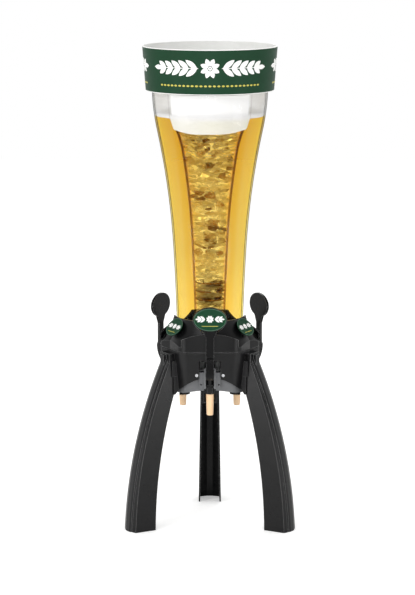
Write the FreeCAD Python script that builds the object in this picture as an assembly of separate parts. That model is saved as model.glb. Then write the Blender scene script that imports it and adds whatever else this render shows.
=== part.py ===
# Tabletop beer tower with three lever taps: a flared clear tank with an ice tube inside it,
# standing in a moulded base on three curved legs. Millimetres, +Z up, origin on the tower's
# axis in the plane of the table. The front tap points to -Y; the other two and the legs
# repeat every 120 degrees.
import FreeCAD, Part
import os
from math import atan2, cos, pi, radians, sin, tan

from FreeCAD import Vector

# ---------------------------------------------------------------- driving dimensions
overall_height = 897.0
footprint_width = 319.0
spout_clearance = 215.0
fit_gap = 0.3          # between curved faces of pieces that come apart
running_gap = 0.05     # radial, between a pin or rod and its bore
beyond = 20.0          # how far a cutting form reaches past what it cuts
sides = 6
turn = 360.0 / 3

# legs: curved channels, open towards the axis
leg_foot_width = 43.5
leg_root_width = 33.0
leg_wall = 3.0
leg_outer_bend = 825.0
leg_outer_lean = 2.65
leg_inner_bend = 862.0
leg_inner_lean = 0.78
leg_foot_depth = 42.5
leg_crest_height = 6.0
leg_crest_width = 12.0
leg_crest_drop = 3.0
leg_flute_radius = 1.6
leg_flute_offset = 6.0
leg_root_radius = 96.8
leg_top_drop = 4.0
leg_bend_turn = 30.0
leg_channel_depth = 70.0

# housing: a drafted six-sided pot with long tap faces and short leg faces
housing_height = 81.0
housing_wall = 3.0
tap_face_radius = 79.0
leg_face_radius = 86.0
housing_draft = 8.0
housing_corner = 20.0
arch_rise = 34.0
arch_half_span = 64.0
bay_width = 41.0
bay_height = 67.0
bay_corner = 4.0
ledge_width = 2.4
ledge_height = 3.0
lip_thickness = 2.2
lip_height = 3.0
lip_low_length = 34.0
lip_high_length = 29.0
lip_step = 3.0
lip_gap = 0.4
tongue_rise = 8.0

# cover: a bell cut by three badge flats and three tap valleys, with an arched panel
# standing in front of each valley
cover_height = 58.5
cover_wall = 2.6
seam_step = 1.2
seam_groove = 2.0
bell_top_radius = 66.9
bell_waist_radius = 71.5
bell_waist_rise = 43.0
bell_foot_radius = 94.0
bell_foot_rise = 9.0
cover_opening = 63.4
badge_slope = 52.0
badge_flat_radius = 64.2
badge_flat_rise = 57.5
badge_width = 48.0
badge_length = 37.0
badge_thickness = 1.2
badge_edge = 0.5
valley_radius = 34.0
valley_rise = 36.0
panel_thickness = 3.4
panel_rise = 36.5
panel_drop = 24.5
panel_half_span = 77.0

# underside moulding that carries the taps
skirt_gap = 2.0
skirt_wall = 2.4
skirt_rise = 1.0
skirt_height = 45.0
skirt_arch = 220.0
skirt_arch_rise = 8.0
floor_rise = 14.0
floor_thickness = 3.0
cheek_thickness = 3.0
cheek_gap = 0.4
cheek_back = 2.0
cheek_cap = 6.0
flange_drop = 3.0
gate_gap = 1.0
bracket_width = 39.0
bracket_hole = 1.6
bracket_hole_spread = 33.0
bracket_hole_rise = 7.0
chassis_tab = 24.0

# taps
tap_radius = 59.0
spout_length = 41.0    # below the tap body
body_drop = 12.0       # below the floor of the underside moulding
body_length = 34.0
body_radius = 10.0
chamber_radius = 7.0
seat_thickness = 2.5
port_radius = 3.8
spout_radius = 7.3
spout_tip_radius = 6.2
spout_bore = 4.2
spout_socket = 10.0
spout_collar = 6.0
spout_lip = 1.6
spout_lip_bevel = 0.5
shroud_radius = 13.5
shroud_length = 31.0
nut_height = 3.2
nut_flats = 22.0
cap_height = 3.0
cap_plug = 4.0
inlet_drop = 10.5
nipple_radius = 3.4
nipple_bore = 2.4
nipple_length = 7.0
seal_radius = 5.4
seal_height = 2.5
head_radius = 5.2
head_height = 2.5
rod_radius = 2.5
stub_radius = 1.5
stub_gap = 0.5
collar_radius = 5.5
collar_height = 3.0
collar_gap = 0.25
spring_radius = 4.2
spring_wire = 1.0
spring_turns = 4
spring_stations = 10

# levers; heights in pairs are (radius inside the bar's outer face, height over the pivot)
lever_width = 14.7
lever_thickness = 4.5
lever_radius = 110.0
pivot_radius = 72.0
pivot_rise = 10.0
hub_radius = 5.5
pin_radius = 2.5
nose_radius = 3.0
nose_rise = 1.3
prong_thickness = 3.3
prong_half_depth = 2.2
paddle_width = 63.0
paddle_height = 45.0
paddle_rise = 104.0
paddle_badge_thickness = 1.2
badge_margin = 1.5
paddle_neck_length = 18.0
paddle_neck_drop = 12.0
paddle_neck_flare = 8.0
heel_rise = 29.0
heel_step = 2.0
heel_step_rise = 5.0
heel_mid = (3.0, 6.0)
heel_end = (18.0, -12.5)
crook_rise = 41.0
crook_mid = (11.5, 20.0)
crook_end = (22.0, 9.0)

# valve manifold under the tank
manifold_plate = 4.0
manifold_gap = 0.5
cup_radius = 29.0
cup_depth = 21.0
cup_floor = 3.0
outlet_radius = 17.0
hose_wall = 1.6
hose_bend = 11.0

# tank; its meridian leans a little at the foot and ends upright at the rim
tank_wall = 2.5
tank_floor = 4.0
tank_foot_radius = 60.8
tank_foot_lean = 1.1
tank_waist_rise = 185.0
tank_waist_lean = 3.3
tank_shoulder_drop = 88.0
tank_shoulder_lean = 12.2
tank_rim_lip = 5.0
tank_rim_depth = 5.0
neck_radius = 24.0
neck_length = 18.0
neck_bore = 19.0
seal_section = 1.8
seal_gap = 0.05

# ice tube that hangs in the tank by its flange
core_wall = 2.0
core_rise = 43.0
core_flange = 3.0
core_foot_radius = 28.0
core_foot_lean = 1.5
core_low_length = 162.0
core_low_lean = 3.0
core_mid_lean = 9.5
core_mid_drop = 130.0    # these drops are measured from the tank's rim
core_flare_drop = 83.0
core_flare_lean = 24.0
core_turn_drop = 62.0

# lid and crown
lid_thickness = 3.5
lid_plug = 8.0
lid_rim = 2.5
lid_edge = 1.0
lid_margin = 5.0
lid_knob_radius = 16.0
lid_knob_height = 12.0
lid_knob_waist = 11.0
lid_knob_foot = 13.0
lid_knob_waist_height = 5.0
lid_knob_bevel = 3.0
crown_height = 81.7
crown_stand = 67.0     # from the tank's rim up to the crown's top edge
crown_overhang = 11.0  # of the crown's foot beyond the tank's rim
crown_flare = 6.2
crown_wall = 2.4
crown_bead = 1.3
sleeve_wall = 0.8
crown_shelf = 3.0
shelf_gap = 0.6

# screws
screw_head_radius = 2.8
screw_head_height = 1.6
screw_radius = 1.4
screw_head_gap = 0.4
screw_seat_depth = 0.8
bay_screw_spread = 49.0
bay_screw_drop = 42.0
bay_screw_length = 7.0
leg_screw_drops = (10.0, 24.0)
leg_screw_radius = 2.0
leg_screw_head = 4.0
leg_screw_head_height = 2.5
leg_screw_washer = 2.0
leg_screw_cover = 1.5

# ---------------------------------------------------------------- derived sizes
up = Vector(0, 0, 1)
tap_names = (("front", 0.0), ("right", turn), ("left", 2 * turn))
leg_names = (("rear", 0.0), ("front_left", turn), ("front_right", 2 * turn))
foot_radius = (footprint_width / 2 - leg_foot_width / 2 * sin(radians(30))) / cos(radians(30))

# heights from the spouts up to the seam
body_bottom = spout_clearance + spout_length
body_top = body_bottom + body_length
seat_height = body_bottom + spout_socket
chamber_floor = seat_height + seat_thickness
seal_top = chamber_floor + seal_height
head_top = seal_top + head_height
inlet_height = body_top - inlet_drop
pivot_height = body_top + pivot_rise
nose_height = pivot_height + nose_rise
collar_bottom = nose_height + nose_radius + collar_gap
rod_top = collar_bottom + collar_height
paddle_centre = pivot_height + paddle_rise
bracket_top = pivot_height + cheek_cap
lever_half = lever_width / 2
floor_height = body_bottom + body_drop
floor_top = floor_height + floor_thickness
shroud_bottom = floor_height - shroud_length
housing_bottom = floor_height - floor_rise
skirt_bottom = housing_bottom + skirt_rise
skirt_top = skirt_bottom + skirt_height
bay_top = housing_bottom + bay_height
seam_height = housing_bottom + housing_height
bay_screw_height = seam_height - bay_screw_drop
leg_top = seam_height - leg_top_drop
leg_screw_heights = [leg_top - drop for drop in leg_screw_drops]
lip_inside = leg_face_radius - 3 * housing_wall

# heights of the cover, manifold, tank and crown
bell_top = seam_height + cover_height
bell_waist_height = seam_height + bell_waist_rise
bell_foot_height = seam_height + bell_foot_rise
badge_flat_height = seam_height + badge_flat_rise
valley_floor = seam_height + valley_rise
plate_bottom = seam_height - manifold_plate
tank_bottom = seam_height
seal_outer = neck_radius + fit_gap - seal_gap
tank_rim_height = overall_height - crown_stand
crown_bottom = overall_height - crown_height

# meridians of the tank and of the ice tube: start radius and lean, then tangent arcs, each
# given by the height where it ends and its lean from the vertical there
tank_start = (tank_foot_radius, tank_foot_lean)
tank_arcs = ((tank_bottom + tank_waist_rise, tank_waist_lean),
             (tank_rim_height - tank_shoulder_drop, tank_shoulder_lean),
             (tank_rim_height, 0.0))
core_bottom = tank_bottom + core_rise
core_start = (core_foot_radius, core_foot_lean)
core_arcs = ((core_bottom + core_low_length, core_low_lean),
             (tank_rim_height - core_mid_drop, core_mid_lean),
             (tank_rim_height - core_flare_drop, core_flare_lean),
             (tank_rim_height - core_turn_drop, 0.0))


# ---------------------------------------------------------------- helpers
def block(x0, x1, y0, y1, z0, z1):
    return Part.makeBox(x1 - x0, y1 - y0, z1 - z0, Vector(x0, y0, z0))


def rod(radius, base, axis, length):
    return Part.makeCylinder(radius, length, base, axis)


def around(shape, angle):
    """A copy of shape turned about the tower's axis."""
    copy = shape.copy()
    copy.rotate(Vector(0, 0, 0), up, angle)
    return copy


def polygon(points):
    return Part.makePolygon(points + [points[0]])


def revolved(profile):
    """A solid of revolution about Z from closed (radius, height) points."""
    wire = polygon([Vector(r, 0, z) for r, z in profile])
    return Part.Face(wire).revolve(Vector(0, 0, 0), up, 360)


def flare_edges(start, bottom, arcs, inset):
    """A meridian of tangent arcs, moved inwards by inset, and its two ends."""
    radius, lean = start
    first = Vector(radius - inset, 0, bottom)
    edges = []
    point = first
    for end_height, end_lean in arcs:
        bend = (end_height - point.z) / (sin(radians(end_lean)) - sin(radians(lean)))
        middle = radians((lean + end_lean) / 2)
        halfway = Vector(point.x + bend * (cos(radians(lean)) - cos(middle)), 0,
                         point.z + bend * (sin(middle) - sin(radians(lean))))
        end = Vector(point.x + bend * (cos(radians(lean)) - cos(radians(end_lean))), 0, end_height)
        edges.append(Part.Arc(point, halfway, end).toShape())
        point = end
        lean = end_lean
    return edges, first, point


def flared_solid(start, bottom, arcs, inset, top):
    """The body of revolution inside a meridian, with a straight end up to top."""
    edges, low, high = flare_edges(start, bottom, arcs, inset)
    rim = Vector(high.x, 0, top)
    corners = [high, rim, Vector(0, 0, top), Vector(0, 0, bottom), low]
    if top <= high.z:
        corners.remove(rim)
    for a, b in zip(corners, corners[1:]):
        edges.append(Part.makeLine(a, b))
    return Part.Face(Part.Wire(edges)).revolve(Vector(0, 0, 0), up, 360)


def side_azimuth(side):
    """Direction of one of the housing's sides; side 0 faces the front tap."""
    return 270 + 360 / sides * side


def plan_points(tap_face, leg_face, height):
    """The six sharp corners of the housing's outline."""
    points = []
    between = radians(360 / sides)
    for side in range(sides):
        first = radians(side_azimuth(side))
        near, far = (tap_face, leg_face) if side % 2 == 0 else (leg_face, tap_face)
        along = (far - near * cos(between)) / sin(between)
        points.append(Vector(near * cos(first) - along * sin(first),
                             near * sin(first) + along * cos(first), height))
    return points


def plan_wire(tap_face, leg_face, corner, height):
    """The housing's outline with rounded corners."""
    reach = corner * tan(radians(30))
    inward = corner / cos(radians(30)) - corner
    ends = []
    for side, vertex in enumerate(plan_points(tap_face, leg_face, height)):
        first = radians(side_azimuth(side))
        second = radians(side_azimuth(side + 1))
        half = (first + second) / 2
        start = vertex + Vector(sin(first), -cos(first), 0) * reach
        end = vertex + Vector(-sin(second), cos(second), 0) * reach
        middle = vertex - Vector(cos(half), sin(half), 0) * inward
        ends.append((start, middle, end))
    edges = []
    for side, (start, middle, end) in enumerate(ends):
        edges.append(Part.Arc(start, middle, end).toShape())
        edges.append(Part.makeLine(end, ends[(side + 1) % sides][0]))
    return Part.Wire(edges)


def housing_faces(height):
    """Tap-face and leg-face radii of the pot at a height, by its draft."""
    share = (seam_height - height) / (seam_height - housing_bottom)
    return tap_face_radius - housing_draft * share, leg_face_radius - housing_draft * share


def pot_solid(inset, bottom, top):
    """The pot's filled form between two heights, moved inwards by inset."""
    rings = []
    for height in (bottom, top):
        tap_face, leg_face = housing_faces(height)
        rings.append(plan_points(tap_face - inset, leg_face - inset, height))
    low, high = rings
    faces = [Part.Face(polygon(low[::-1])), Part.Face(polygon(high))]
    for i in range(sides):
        j = (i + 1) % sides
        faces.append(Part.Face(polygon([low[i], low[j], high[j], high[i]])))
    shell = Part.makeShell(faces)
    shell.sewShape()
    solid = Part.makeSolid(shell)
    upright = [e for e in solid.Edges if len({round(v.Z, 3) for v in e.Vertexes}) == 2]
    return solid.makeFillet(housing_corner - inset, upright).Solids[0]


rim_radius = flare_edges(tank_start, tank_bottom, tank_arcs, 0)[2].x
core_rim_radius = flare_edges(core_start, core_bottom, core_arcs, 0)[2].x
crown_bottom_radius = rim_radius + crown_overhang


# ---------------------------------------------------------------- housing
def tap_arch():
    """The scalloped opening under one tap face, as a radial cylinder."""
    radius = (arch_half_span ** 2 + arch_rise ** 2) / (2 * arch_rise)
    return rod(radius, Vector(0, 0, housing_bottom + arch_rise - radius), Vector(0, -1, 0),
               2 * tap_face_radius)


def tap_bay():
    """The upright slot that each lever comes out of."""
    bay = block(-bay_width / 2, bay_width / 2, -2 * tap_face_radius, -tap_radius + body_radius,
                housing_bottom - beyond, bay_top)
    corners = [e for e in bay.Edges
               if len({round(v.Y, 3) for v in e.Vertexes}) == 2
               and min(v.Z for v in e.Vertexes) > bay_top - bay_corner]
    return bay.makeFillet(bay_corner, corners)


def leg_tongue():
    """The boss on a leg face that fills the top of the leg's channel."""
    half = leg_root_width / 2 - leg_wall
    tongue = block(-half, half, lip_inside, leg_root_radius - leg_wall,
                   housing_bottom + tongue_rise,
                   leg_top - leg_wall)
    return tongue.cut(pot_solid(housing_wall, housing_bottom, seam_height))


def leg_lips():
    """Stepped ribs that close the pot against both sides of a leg."""
    lips = []
    for side in (-1, 1):
        middle = housing_bottom + lip_low_length
        for z0, z1, shift in ((housing_bottom, middle, 0.0),
                              (middle, middle + lip_high_length, lip_step)):
            inner = leg_width(z0) / 2 + lip_gap
            x0 = side * inner
            x1 = side * (inner + lip_thickness)
            outer = leg_face_radius + lip_height + shift
            lips.append(block(min(x0, x1), max(x0, x1), lip_inside, outer, z0, z1))
    inside = pot_solid(housing_wall / 2, housing_bottom, seam_height)
    return [lip.cut(inside) for lip in lips]


def base_housing():
    shell = pot_solid(0, housing_bottom, seam_height)
    for name, angle in leg_names:
        shell = shell.fuse(around(leg_tongue(), angle))
        for lip in leg_lips():
            shell = shell.fuse(around(lip, angle))
    shell = shell.cut(pot_solid(housing_wall, housing_bottom, seam_height))
    ledge = pot_solid(housing_wall / 2, plate_bottom - ledge_height, plate_bottom)
    ledge = ledge.cut(pot_solid(housing_wall + ledge_width, plate_bottom - ledge_height, plate_bottom))
    shell = shell.fuse(ledge)
    for name, angle in tap_names:
        shell = shell.cut(around(tap_arch(), angle))
        shell = shell.cut(around(tap_bay(), angle))
        for side in (-1, 1):
            spot = rod(screw_head_radius + screw_head_gap, Vector(side * bay_screw_spread / 2,
                       -bay_screw_face(), bay_screw_height), Vector(0, -1, 0), beyond)
            hole = rod(screw_radius, Vector(side * bay_screw_spread / 2, 0, bay_screw_height),
                       Vector(0, -1, 0), 2 * tap_face_radius)
            shell = shell.cut(around(spot.fuse(hole), angle))
    for name, angle in leg_names:
        for height in leg_screw_heights:
            hole = rod(leg_screw_radius, Vector(0, 0, height), Vector(0, 1, 0), leg_root_radius)
            shell = shell.cut(around(hole, angle))
    return shell.removeSplitter()


def bay_screw_face():
    """Radius of the flat that a bay screw's head sits on."""
    return housing_faces(bay_screw_height)[0] - screw_seat_depth


# ---------------------------------------------------------------- cover
def bell_point(bend, inset, height):
    """A point of the bell's meridian, moved inwards by inset, at a height."""
    rise = height - bend.Center.z
    return Vector(bend.Center.x - ((bend.Radius + inset) ** 2 - rise ** 2) ** 0.5, 0, height)


def bell_solid(inset):
    """The bell over its flat brim, which reaches past the housing's outline."""
    bend = Part.Arc(Vector(bell_foot_radius, 0, bell_foot_height),
                    Vector(bell_waist_radius, 0, bell_waist_height),
                    Vector(bell_top_radius, 0, bell_top)).toShape().Curve
    brim = bell_foot_height - inset
    low = seam_height - beyond
    rim = bell_foot_radius + beyond
    foot, waist, top = [bell_point(bend, inset, z) for z in (brim, bell_waist_height, bell_top)]
    edges = [Part.Arc(foot, waist, top).toShape()]
    corners = [top, Vector(0, 0, bell_top), Vector(0, 0, low), Vector(rim, 0, low),
               Vector(rim, 0, brim), foot]
    for a, b in zip(corners, corners[1:]):
        edges.append(Part.makeLine(a, b))
    return Part.Face(Part.Wire(edges)).revolve(Vector(0, 0, 0), up, 360)


def badge_cutter(inset):
    """Everything above one badge flat, for the leg side at +Y."""
    slope = radians(badge_slope)
    normal = Vector(0, sin(slope), cos(slope))
    origin = Vector(0, badge_flat_radius, badge_flat_height) - normal * inset
    reach = leg_face_radius
    slab = block(-reach, reach, -reach, reach, 0, reach)
    slab.rotate(Vector(0, 0, 0), Vector(1, 0, 0), -badge_slope)
    slab.translate(origin)
    return slab


def cover_form(inset):
    prism = Part.Face(plan_wire(tap_face_radius - inset, leg_face_radius - inset,
                                housing_corner - inset, seam_height))
    prism = prism.extrude(up * (bell_top - seam_height))
    form = prism.common(bell_solid(inset))
    for name, angle in leg_names:
        form = form.cut(around(badge_cutter(inset), angle))
    return form


def arched_panel():
    """The upright panel of one tap face, its upper edge an arch."""
    radius = (panel_half_span ** 2 + panel_drop ** 2) / (2 * panel_drop)
    arch = rod(radius, Vector(0, 0, seam_height + panel_rise - radius), Vector(0, -1, 0),
               tap_face_radius)
    front = block(-panel_half_span, panel_half_span, -tap_face_radius,
                  -tap_face_radius + panel_thickness, seam_height, seam_height + panel_rise)
    plan = Part.Face(plan_wire(tap_face_radius, leg_face_radius, housing_corner, seam_height))
    return arch.common(front).common(plan.extrude(up * panel_rise))


def base_cover():
    shell = cover_form(0).cut(cover_form(cover_wall))
    for name, angle in tap_names:
        shell = shell.fuse(around(arched_panel(), angle))
    shell = shell.cut(rod(cover_opening, Vector(0, 0, seam_height), up, bell_top))
    step = Part.Face(plan_wire(tap_face_radius, leg_face_radius, housing_corner, seam_height))
    step = step.extrude(up * seam_groove)
    inner = Part.Face(plan_wire(tap_face_radius - seam_step, leg_face_radius - seam_step,
                                housing_corner - seam_step, seam_height))
    step = step.cut(inner.extrude(up * seam_groove))
    shell = shell.cut(step)
    for name, angle in tap_names:
        valley = rod(valley_radius, Vector(0, 0, valley_floor + valley_radius),
                     Vector(0, -1, 0), 2 * tap_face_radius)
        shell = shell.cut(around(valley, angle))
    for name, angle in leg_names:
        shell = shell.cut(around(lobe_badge(), angle))
    return shell.removeSplitter()


def oval(width, length, thickness):
    """An upright-lying oval plate, its face in XY, centred on the origin."""
    ellipse = Part.Ellipse(Vector(0, 0, 0), width / 2, length / 2)
    return Part.Face(Part.Wire(ellipse.toShape())).extrude(up * thickness)


def on_badge_flat(shape):
    """Lays a shape made on XY onto the badge flat of the leg side at +Y."""
    slope = radians(badge_slope)
    half = badge_length / 2 + badge_edge
    centre = Vector(0, badge_flat_radius + half * cos(slope), badge_flat_height - half * sin(slope))
    shape.rotate(Vector(0, 0, 0), Vector(1, 0, 0), -badge_slope)
    shape.translate(centre)
    return shape


def lobe_badge():
    """The oval plate on the cover's flat, let in by half its thickness."""
    plate = oval(badge_width, badge_length, badge_thickness)
    plate.translate(Vector(0, 0, -badge_thickness / 2))
    return on_badge_flat(plate)


# ---------------------------------------------------------------- underside moulding
def tap_bracket():
    """Two cheeks with a front flange that hold one lever's pin."""
    inner = lever_half + cheek_gap
    back = pivot_radius - cheek_back
    front = pivot_radius + hub_radius
    bracket = None
    for side in (-1, 1):
        x0 = side * inner
        x1 = side * (inner + cheek_thickness)
        x2 = side * bracket_width / 2
        cheek = block(min(x0, x1), max(x0, x1), -front, -back, floor_height, bracket_top)
        flange = block(min(x0, x2), max(x0, x2), -back - cheek_thickness, -back, floor_height,
                       bracket_top - flange_drop)
        hole = rod(bracket_hole, Vector(side * bracket_hole_spread / 2, 0,
                   floor_height + bracket_hole_rise), Vector(0, -1, 0), 2 * pivot_radius)
        piece = cheek.fuse(flange).cut(hole)
        bracket = piece if bracket is None else bracket.fuse(piece)
    pin = rod(pin_radius, Vector(-bracket_width, -pivot_radius, pivot_height),
              Vector(1, 0, 0), 2 * bracket_width)
    return bracket.cut(pin)


def chassis_skirt():
    """The arched inner wall seen under the pot's scallops, open at each tap."""
    inset = housing_wall + skirt_gap
    skirt = pot_solid(inset, skirt_bottom, skirt_top)
    skirt = skirt.cut(pot_solid(inset + skirt_wall, skirt_bottom, skirt_top))
    half = body_radius + gate_gap
    for name, angle in tap_names:
        low_arch = rod(skirt_arch, Vector(0, 0, skirt_bottom + skirt_arch_rise - skirt_arch),
                       Vector(0, -1, 0), 2 * leg_face_radius)
        slot = block(-half, half, -2 * tap_face_radius, -tap_radius, skirt_bottom - beyond,
                     skirt_top + beyond)
        gate = block(-bracket_width / 2, bracket_width / 2, -2 * tap_face_radius, -tap_radius,
                     floor_top, skirt_top + beyond)
        skirt = skirt.cut(around(low_arch.fuse(slot).fuse(gate), angle))
    return skirt


def chassis():
    inset = housing_wall + skirt_gap
    plate = pot_solid(inset + skirt_wall / 2, floor_height, floor_top)
    reach = pot_solid(housing_wall, floor_height, floor_top)
    whole = chassis_skirt().fuse(plate)
    for name, angle in leg_names:
        tab = block(-chassis_tab / 2, chassis_tab / 2, tap_radius, 2 * leg_face_radius,
                    floor_height, floor_top)
        whole = whole.fuse(reach.common(around(tab, angle)))
    for name, angle in tap_names:
        whole = whole.fuse(around(tap_bracket(), angle))
        hole = rod(body_radius, tap_axis(floor_height), up, floor_thickness)
        lever_way = block(-lever_half - cheek_gap, lever_half + cheek_gap,
                          -2 * tap_face_radius, -pivot_radius + hub_radius + gate_gap,
                          floor_top, bracket_top)
        cutter = hole.fuse(lever_way)
        for side in (-1, 1):
            pilot = rod(screw_radius, Vector(side * bay_screw_spread / 2, 0, bay_screw_height),
                        Vector(0, -1, 0), 2 * tap_face_radius)
            cutter = cutter.fuse(pilot)
        whole = whole.cut(around(cutter, angle))
    return whole.removeSplitter()


# ---------------------------------------------------------------- taps (front one)
def tap_axis(height):
    return Vector(0, -tap_radius, height)


def tap_body():
    body = rod(body_radius, tap_axis(body_bottom), up, body_top - body_bottom)
    shroud = rod(shroud_radius, tap_axis(shroud_bottom), up, floor_height - shroud_bottom)
    shroud = shroud.cut(rod(body_radius, tap_axis(shroud_bottom), up, floor_height - shroud_bottom))
    shroud = shroud.common(block(-shroud_radius, shroud_radius, -tap_radius, 0, shroud_bottom,
                                 floor_height))
    body = body.fuse(shroud)
    nipple = rod(nipple_radius, tap_axis(inlet_height), Vector(0, 1, 0),
                 body_radius + nipple_length)
    body = body.fuse(nipple)
    body = body.cut(rod(nipple_bore, tap_axis(inlet_height), Vector(0, 1, 0),
                        body_radius + nipple_length))
    body = body.cut(rod(spout_radius, tap_axis(body_bottom), up, spout_socket))
    body = body.cut(rod(port_radius, tap_axis(seat_height), up, seat_thickness))
    body = body.cut(rod(chamber_radius, tap_axis(chamber_floor), up, body_top - chamber_floor))
    return body.removeSplitter()


def tap_nut():
    side = nut_flats / 2 / cos(radians(30))
    points = [Vector(side * cos(2 * pi * i / 6), side * sin(2 * pi * i / 6) - tap_radius,
                     floor_top) for i in range(6)]
    nut = Part.Face(polygon(points)).extrude(up * nut_height)
    return nut.cut(rod(body_radius, tap_axis(floor_top), up, nut_height))


def tap_cap():
    cap = rod(body_radius, tap_axis(body_top), up, cap_height)
    cap = cap.fuse(rod(chamber_radius, tap_axis(body_top - cap_plug), up, cap_plug))
    return cap.cut(rod(rod_radius + running_gap, tap_axis(body_top - cap_plug), up, beyond))


def tap_spout():
    """A tapered tube with a rolled lip, pushed up into the tap body."""
    lip = spout_clearance + spout_lip
    wall = spout_tip_radius - spout_bore
    profile = [(spout_bore, seat_height), (spout_radius, seat_height),
               (spout_radius, body_bottom - spout_collar), (spout_tip_radius, lip),
               (spout_tip_radius - spout_lip_bevel, spout_clearance + spout_lip_bevel),
               (spout_tip_radius - wall / 2, spout_clearance), (spout_bore, spout_clearance)]
    spout = revolved(profile)
    spout.translate(tap_axis(0))
    return spout


def plunger():
    stem = rod(rod_radius, tap_axis(seal_top), up, rod_top - seal_top)
    head = rod(head_radius, tap_axis(seal_top), up, head_height)
    stub = rod(stub_radius, tap_axis(chamber_floor + stub_gap), up, seal_height)
    collar = rod(collar_radius, tap_axis(collar_bottom), up, collar_height)
    return stem.fuse(head).fuse(stub).fuse(collar).removeSplitter()


def plunger_seal():
    seal = rod(seal_radius, tap_axis(chamber_floor), up, seal_height)
    return seal.cut(rod(stub_radius, tap_axis(chamber_floor), up, seal_height))


def plunger_spring():
    """A square-wire coil, lofted straight from station to station round its helix."""
    low = head_top + spring_wire / 2
    high = body_top - cap_plug - spring_wire / 2
    steps = spring_turns * spring_stations
    half = spring_wire / 2
    rings = []
    for step in range(steps + 1):
        angle = 2 * pi * step / spring_stations
        height = low + (high - low) * step / steps
        points = []
        for out, rise in ((-half, -half), (half, -half), (half, half), (-half, half)):
            radius = spring_radius + out
            points.append(Vector(radius * cos(angle), radius * sin(angle) - tap_radius,
                                 height + rise))
        rings.append(polygon(points))
    return Part.makeLoft(rings, True, True)


def feed_rod(radius):
    """The filled line of one feed hose: down, a quarter bend, out to the tap."""
    top = plate_bottom - cup_depth
    turn_height = inlet_height + hose_bend
    down = rod(radius, Vector(0, -outlet_radius, turn_height), up, top - turn_height)
    centre = Vector(0, -outlet_radius - hose_bend, turn_height)
    ring = Part.Face(Part.Wire(Part.Circle(Vector(0, -outlet_radius, turn_height), up,
                                           radius).toShape()))
    bend = ring.revolve(centre, Vector(1, 0, 0), -90)
    out = rod(radius, Vector(0, centre.y, inlet_height), Vector(0, -1, 0),
              tap_radius - body_radius - outlet_radius - hose_bend)
    return down.fuse(bend).fuse(out)


def feed_hose():
    return feed_rod(nipple_radius + hose_wall).cut(feed_rod(nipple_radius)).removeSplitter()


# ---------------------------------------------------------------- levers (front one)
def lever_side():
    """Side face of the bar, heel and arm of a lever: a bar crooked in to its hub."""
    def at(radius, height):
        return Vector(-lever_half, -radius, height)
    inner = lever_radius - lever_thickness
    heel_high = pivot_height + heel_rise
    heel_top = at(lever_radius + heel_step, heel_high)
    heel_low = at(lever_radius - heel_end[0], pivot_height + heel_end[1])
    heel_bend = at(lever_radius - heel_mid[0], pivot_height + heel_mid[1])
    crook_top = at(inner, pivot_height + crook_rise)
    crook_low = at(lever_radius - crook_end[0], pivot_height + crook_end[1])
    crook_bend = at(lever_radius - crook_mid[0], pivot_height + crook_mid[1])
    hub_low = at(pivot_radius, pivot_height - hub_radius)
    hub_high = at(pivot_radius, pivot_height + hub_radius)
    outside = [at(inner, paddle_centre), at(lever_radius, paddle_centre),
               at(lever_radius, heel_high + heel_step_rise), heel_top]
    edges = [Part.makeLine(a, b) for a, b in zip(outside, outside[1:])]
    edges.append(Part.Arc(heel_top, heel_bend, heel_low).toShape())
    edges.append(Part.makeLine(heel_low, hub_low))
    edges.append(Part.makeLine(hub_low, hub_high))
    edges.append(Part.makeLine(hub_high, crook_low))
    edges.append(Part.Arc(crook_low, crook_bend, crook_top).toShape())
    edges.append(Part.makeLine(crook_top, outside[0]))
    return Part.Face(Part.Wire(edges))


def lever_fork():
    """Two prongs from the hub to the tap's axis, with round noses under the collar."""
    fork = []
    for side in (-1, 1):
        x = min(side * lever_half, side * (lever_half - prong_thickness))
        arm = polygon([Vector(x, -pivot_radius, pivot_height - prong_half_depth),
                       Vector(x, -pivot_radius, pivot_height + prong_half_depth),
                       Vector(x, -tap_radius, nose_height + prong_half_depth),
                       Vector(x, -tap_radius, nose_height - prong_half_depth)])
        fork.append(Part.Face(arm).extrude(Vector(prong_thickness, 0, 0)))
        fork.append(rod(nose_radius, Vector(x, -tap_radius, nose_height), Vector(1, 0, 0),
                        prong_thickness))
    return fork


def tap_lever():
    inner = lever_radius - lever_thickness
    bar = lever_side().extrude(Vector(lever_width, 0, 0))
    hub = rod(hub_radius, Vector(-lever_half, -pivot_radius, pivot_height), Vector(1, 0, 0),
              lever_width)
    paddle = oval(paddle_width, paddle_height, lever_thickness)
    paddle.rotate(Vector(0, 0, 0), Vector(1, 0, 0), 90)
    paddle.translate(Vector(0, -inner, paddle_centre))
    low = paddle_centre - paddle_height / 2 - paddle_neck_drop
    high = low + paddle_neck_length
    wide = lever_half + paddle_neck_flare
    neck = polygon([Vector(-lever_half, -inner, low), Vector(lever_half, -inner, low),
                    Vector(wide, -inner, high), Vector(-wide, -inner, high)])
    neck = Part.Face(neck).extrude(Vector(0, -lever_thickness, 0))
    lever = bar.fuse([hub, paddle, neck] + lever_fork())
    bore = rod(pin_radius + running_gap, Vector(-lever_half, -pivot_radius, pivot_height),
               Vector(1, 0, 0), lever_width)
    return lever.cut(bore).removeSplitter()


def lever_pin():
    half = lever_half + cheek_gap + cheek_thickness
    return rod(pin_radius, Vector(-half, -pivot_radius, pivot_height), Vector(1, 0, 0), 2 * half)


def paddle_badge():
    badge = oval(paddle_width - 2 * badge_margin, paddle_height - 2 * badge_margin,
                 paddle_badge_thickness)
    badge.rotate(Vector(0, 0, 0), Vector(1, 0, 0), 90)
    badge.translate(Vector(0, -lever_radius, paddle_centre))
    return badge


# ---------------------------------------------------------------- legs (rear one)
def leg_width(height):
    return leg_foot_width + (leg_root_width - leg_foot_width) * height / leg_top


def bend_centre(radius, lean, at_floor):
    return Vector(0, at_floor - radius * cos(radians(lean)), -radius * sin(radians(lean)))


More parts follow.
